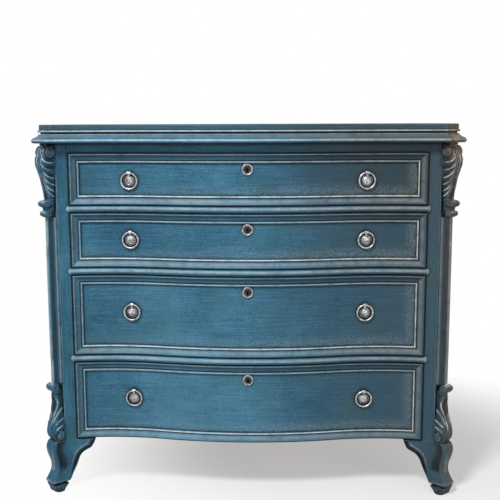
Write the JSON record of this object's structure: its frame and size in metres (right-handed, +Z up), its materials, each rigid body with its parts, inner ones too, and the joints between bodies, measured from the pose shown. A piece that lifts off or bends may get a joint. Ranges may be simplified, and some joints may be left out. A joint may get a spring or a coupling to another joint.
{
  "type": "serpentine chest of drawers",
  "caption": "Painted serpentine-front chest of drawers with moulded drawers, ring pulls, reeded canted corners, carved consoles and cabriole feet.",
  "frame": {"origin": "centre of the bounding box on the floor, under the feet", "axes": "+X to the right as seen from the front, +Y to the back, +Z up; the drawers open along -Y"},
  "size_m": [1.138, 0.56, 1.0027],
  "materials": {
    "painted_wood": "worn satin paint",
    "plain_wood": "bare sawn wood",
    "aged_metal": "aged",
    "lock_iron": "matt"
  },
  "bodies": {
    "carcass": {"top_board": "painted_wood", "cornice_moulding": "painted_wood", "frieze_rail": "painted_wood", "left_corner_post": "painted_wood", "right_corner_post": "painted_wood", "left_rear_leg": "painted_wood", "right_rear_leg": "painted_wood", "left_side_panel": "painted_wood", "right_side_panel": "painted_wood", "back_boards": "plain_wood", "bottom_board": "plain_wood", "drawer_rails": "plain_wood", "rail_beads": "painted_wood", "drawer_runners": "plain_wood", "drawer_guides": "plain_wood", "drawer_stops": "plain_wood", "left_console": "painted_wood", "right_console": "painted_wood", "left_pilaster": "painted_wood", "right_pilaster": "painted_wood", "left_lower_scroll": "painted_wood", "right_lower_scroll": "painted_wood", "left_front_foot": "painted_wood", "right_front_foot": "painted_wood"},
    "drawer_1": {"drawer_1_front": "painted_wood", "drawer_1_moulding": "painted_wood", "drawer_1_box": "plain_wood", "drawer_1_rosettes": "aged_metal", "drawer_1_escutcheon": "aged_metal", "drawer_1_lock": "lock_iron"},
    "drawer_1_bolt": {"drawer_1_bolt": "lock_iron"},
    "drawer_1_left_ring": {"drawer_1_left_ring": "aged_metal"},
    "drawer_1_right_ring": {"drawer_1_right_ring": "aged_metal"},
    "drawer_2": {"drawer_2_front": "painted_wood", "drawer_2_moulding": "painted_wood", "drawer_2_box": "plain_wood", "drawer_2_rosettes": "aged_metal", "drawer_2_escutcheon": "aged_metal", "drawer_2_lock": "lock_iron"},
    "drawer_2_bolt": {"drawer_2_bolt": "lock_iron"},
    "drawer_2_left_ring": {"drawer_2_left_ring": "aged_metal"},
    "drawer_2_right_ring": {"drawer_2_right_ring": "aged_metal"},
    "drawer_3": {"drawer_3_front": "painted_wood", "drawer_3_moulding": "painted_wood", "drawer_3_box": "plain_wood", "drawer_3_rosettes": "aged_metal", "drawer_3_escutcheon": "aged_metal", "drawer_3_lock": "lock_iron"},
    "drawer_3_bolt": {"drawer_3_bolt": "lock_iron"},
    "drawer_3_left_ring": {"drawer_3_left_ring": "aged_metal"},
    "drawer_3_right_ring": {"drawer_3_right_ring": "aged_metal"},
    "drawer_4": {"drawer_4_front": "painted_wood", "drawer_4_moulding": "painted_wood", "drawer_4_box": "plain_wood", "drawer_4_rosettes": "aged_metal", "drawer_4_escutcheon": "aged_metal", "drawer_4_lock": "lock_iron"},
    "drawer_4_bolt": {"drawer_4_bolt": "lock_iron"},
    "drawer_4_left_ring": {"drawer_4_left_ring": "aged_metal"},
    "drawer_4_right_ring": {"drawer_4_right_ring": "aged_metal"}
  },
  "joints": [
    {"name": "drawer_1_slide", "type": "slide", "parent": "carcass", "child": "drawer_1", "axis": [0, -1, 0], "range_m": [0, 0.34]},
    {"name": "drawer_1_bolt_slide", "type": "slide", "parent": "drawer_1", "child": "drawer_1_bolt", "axis": [0, 0, 1], "range_m": [0, 0.008]},
    {"name": "drawer_1_left_ring_hinge", "type": "hinge", "parent": "drawer_1", "child": "drawer_1_left_ring", "pos_m": [-0.31345, -0.21306, 0.876], "axis": [-0.9972, 0.0746, 0], "range_deg": [0, 140]},
    {"name": "drawer_1_right_ring_hinge", "type": "hinge", "parent": "drawer_1", "child": "drawer_1_right_ring", "pos_m": [0.31345, -0.21306, 0.876], "axis": [-0.9972, -0.0746, 0], "range_deg": [0, 140]},
    {"name": "drawer_2_slide", "type": "slide", "parent": "carcass", "child": "drawer_2", "axis": [0, -1, 0], "range_m": [0, 0.34]},
    {"name": "drawer_2_bolt_slide", "type": "slide", "parent": "drawer_2", "child": "drawer_2_bolt", "axis": [0, 0, 1], "range_m": [0, 0.008]},
    {"name": "drawer_2_left_ring_hinge", "type": "hinge", "parent": "drawer_2", "child": "drawer_2_left_ring", "pos_m": [-0.31345, -0.21306, 0.7185], "axis": [-0.9972, 0.0746, 0], "range_deg": [0, 140]},
    {"name": "drawer_2_right_ring_hinge", "type": "hinge", "parent": "drawer_2", "child": "drawer_2_right_ring", "pos_m": [0.31345, -0.21306, 0.7185], "axis": [-0.9972, -0.0746, 0], "range_deg": [0, 140]},
    {"name": "drawer_3_slide", "type": "slide", "parent": "carcass", "child": "drawer_3", "axis": [0, -1, 0], "range_m": [0, 0.34]},
    {"name": "drawer_3_bolt_slide", "type": "slide", "parent": "drawer_3", "child": "drawer_3_bolt", "axis": [0, 0, 1], "range_m": [0, 0.008]},
    {"name": "drawer_3_left_ring_hinge", "type": "hinge", "parent": "drawer_3", "child": "drawer_3_left_ring", "pos_m": [-0.31345, -0.21306, 0.522], "axis": [-0.9972, 0.0746, 0], "range_deg": [0, 140]},
    {"name": "drawer_3_right_ring_hinge", "type": "hinge", "parent": "drawer_3", "child": "drawer_3_right_ring", "pos_m": [0.31345, -0.21306, 0.522], "axis": [-0.9972, -0.0746, 0], "range_deg": [0, 140]},
    {"name": "drawer_4_slide", "type": "slide", "parent": "carcass", "child": "drawer_4", "axis": [0, -1, 0], "range_m": [0, 0.34]},
    {"name": "drawer_4_bolt_slide", "type": "slide", "parent": "drawer_4", "child": "drawer_4_bolt", "axis": [0, 0, 1], "range_m": [0, 0.008]},
    {"name": "drawer_4_left_ring_hinge", "type": "hinge", "parent": "drawer_4", "child": "drawer_4_left_ring", "pos_m": [-0.31345, -0.21306, 0.282], "axis": [-0.9972, 0.0746, 0], "range_deg": [0, 140]},
    {"name": "drawer_4_right_ring_hinge", "type": "hinge", "parent": "drawer_4", "child": "drawer_4_right_ring", "pos_m": [0.31345, -0.21306, 0.282], "axis": [-0.9972, -0.0746, 0], "range_deg": [0, 140]}
  ]
}
